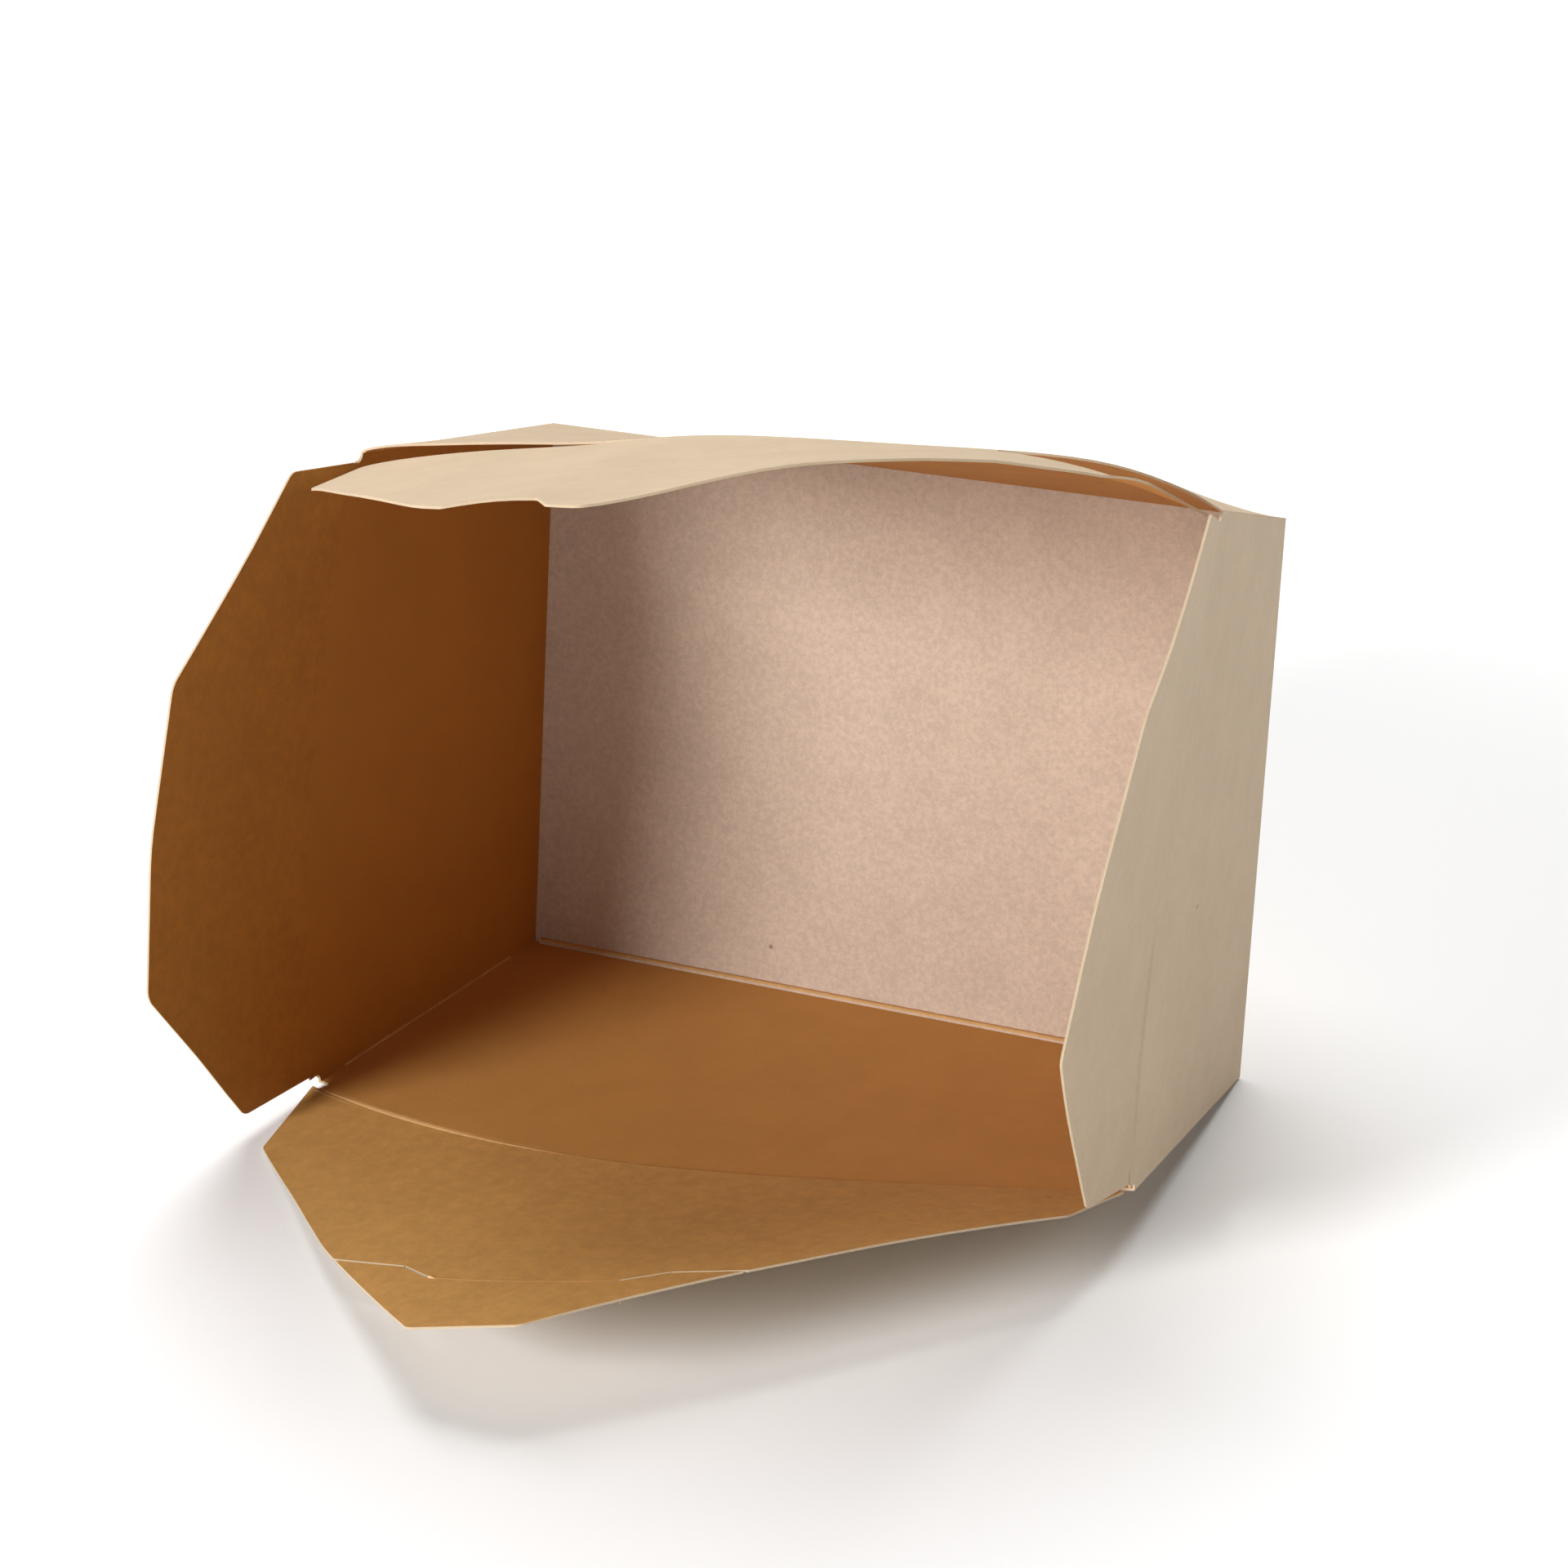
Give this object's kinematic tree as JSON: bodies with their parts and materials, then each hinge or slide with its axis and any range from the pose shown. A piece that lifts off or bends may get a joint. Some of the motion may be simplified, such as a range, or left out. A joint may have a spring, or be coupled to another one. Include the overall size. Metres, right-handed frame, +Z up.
{
  "type": "takeaway box",
  "caption": "Folded kraft card takeaway box with flared walls, lying on one long wall with its closing flaps open and an arched crease at each flap.",
  "frame": {"origin": "on the ground plane under the centre of the bounding box, at the bottom of the box as it lies", "axes": "+Z up, -Y out of the open mouth, +X to the right for someone looking into the mouth"},
  "size_m": [0.1702, 0.163, 0.1428],
  "materials": {
    "kraft_card": "matt uncoated kraft card, paler grey-beige outside and warmer brown inside"
  },
  "bodies": {
    "tub": {"folded_tub": "kraft_card"},
    "left_flap": {"left_flap": "kraft_card"},
    "right_flap": {"right_flap": "kraft_card"},
    "floor_side_flap": {"floor_side_flap": "kraft_card"},
    "upper_flap": {"upper_flap": "kraft_card"}
  },
  "joints": [
    {"name": "left_flap_crease", "type": "hinge", "parent": "tub", "child": "left_flap", "pos_m": [-0.07828, 0.0063, 0.05694], "axis": [0.0524, 0.2091, 0.9765], "range_deg": [-75, 86]},
    {"name": "right_flap_crease", "type": "hinge", "parent": "tub", "child": "right_flap", "pos_m": [0.07543, 0.00847, 0.06706], "axis": [-0.0605, -0.2097, -0.9759], "range_deg": [-75, 86]},
    {"name": "floor_side_flap_crease", "type": "hinge", "parent": "tub", "child": "floor_side_flap", "pos_m": [-0.00434, -0.00963, 0.00721], "axis": [-0.996, -0.0172, -0.0872], "range_deg": [0, 72]},
    {"name": "upper_flap_crease", "type": "hinge", "parent": "tub", "child": "upper_flap", "pos_m": [0.00125, 0.01318, 0.12354], "axis": [0.9967, 0.0194, 0.0794], "range_deg": [0, 80]}
  ]
}
